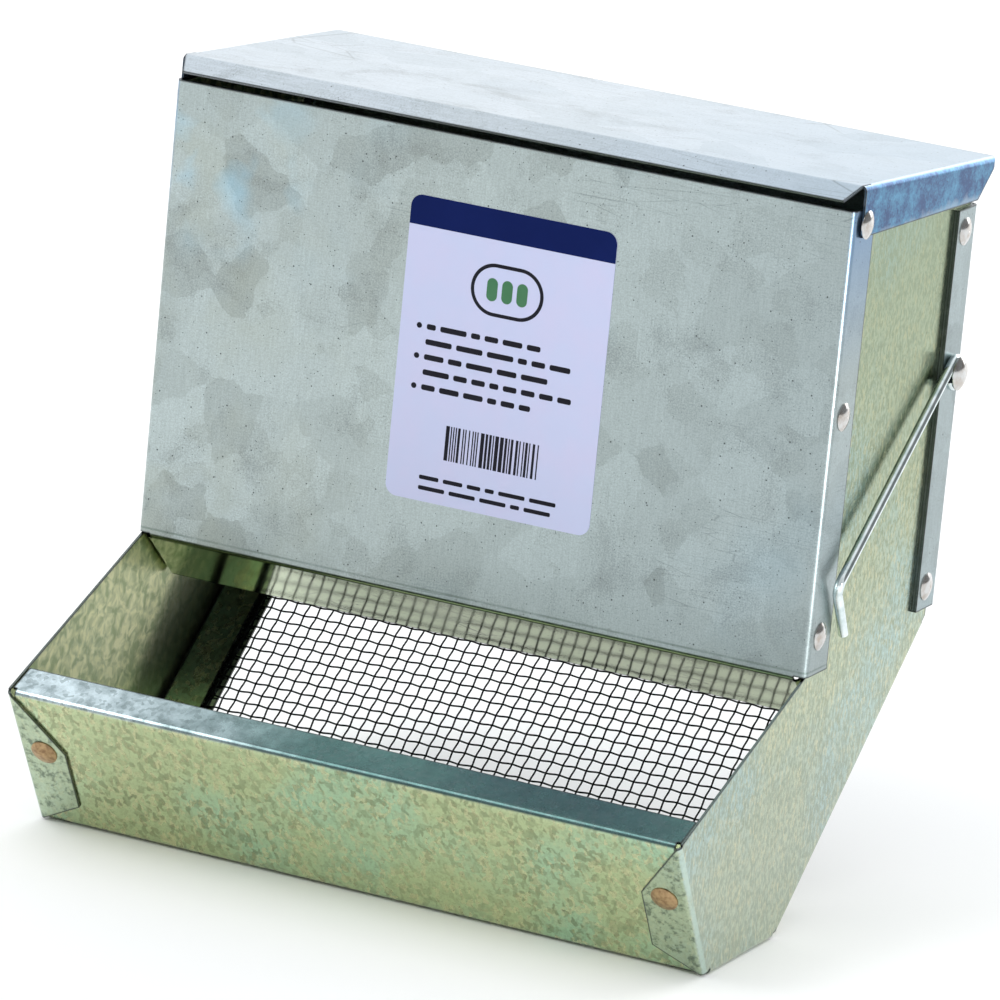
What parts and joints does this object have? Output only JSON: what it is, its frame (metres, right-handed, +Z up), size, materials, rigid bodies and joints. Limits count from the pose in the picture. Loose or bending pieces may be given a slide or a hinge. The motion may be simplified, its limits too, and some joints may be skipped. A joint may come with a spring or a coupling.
{
  "type": "rabbit hopper feeder",
  "caption": "Sheet-metal hopper feeder with a hinged lid, an open trough, a wire-mesh sifting ramp and swinging wire hooks that hold it on a cage wall.",
  "frame": {"origin": "on the outer face of the hopper's front, which lies against the cage wall, on the centre line, 75 mm above the underside of the trough", "axes": "+X across the feeder, to the right of a viewer who faces its front; +Y from the hopper's front to its back; +Z up"},
  "size_m": [0.1884, 0.1448, 0.1824],
  "materials": {
    "galvanised_sheet": "spangled zinc, cool grey",
    "tinted_galvanised_sheet": "fine-spangled zinc, yellow-green tint",
    "mesh_wire": "dull zinc",
    "hook_wire": "bright zinc plate",
    "rivet": "bright",
    "tab_rivet": "coppery, satin",
    "label": "printed film"
  },
  "bodies": {
    "root": {"right_side_panel": "tinted_galvanised_sheet", "left_side_panel": "tinted_galvanised_sheet", "trough_pan": "tinted_galvanised_sheet", "hopper_front_panel": "galvanised_sheet", "back_panel": "galvanised_sheet", "card_holder": "galvanised_sheet", "mesh_clamp_strip": "tinted_galvanised_sheet", "mesh_long_wires": "mesh_wire", "mesh_short_wires": "mesh_wire", "right_lid_pivot_rivet": "rivet", "left_lid_pivot_rivet": "rivet", "right_hook_rivet": "rivet", "left_hook_rivet": "rivet", "hopper_front_rivets": "rivet", "back_rivets": "rivet", "trough_tab_rivets": "tab_rivet", "ramp_rivets": "tab_rivet", "mesh_clamp_rivets": "tab_rivet", "back_seam_rivets": "tab_rivet"},
    "lid": {"lid": "galvanised_sheet"},
    "left_hook": {"left_hook": "hook_wire"},
    "right_hook": {"right_hook": "hook_wire"}
  },
  "joints": [
    {"name": "lid_hinge", "type": "hinge", "parent": "root", "child": "lid", "pos_m": [0, 0.0062, 0.0978], "axis": [1, 0, 0], "range_deg": [0, 78]},
    {"name": "right_hook_pivot", "type": "hinge", "parent": "root", "child": "right_hook", "pos_m": [0.09144, 0.0672, 0.0518], "axis": [-1, 0, 0], "range_deg": [-48, 66]},
    {"name": "left_hook_pivot", "type": "hinge", "parent": "root", "child": "left_hook", "pos_m": [-0.09144, 0.0672, 0.0518], "axis": [-1, 0, 0], "range_deg": [-48, 66]}
  ]
}
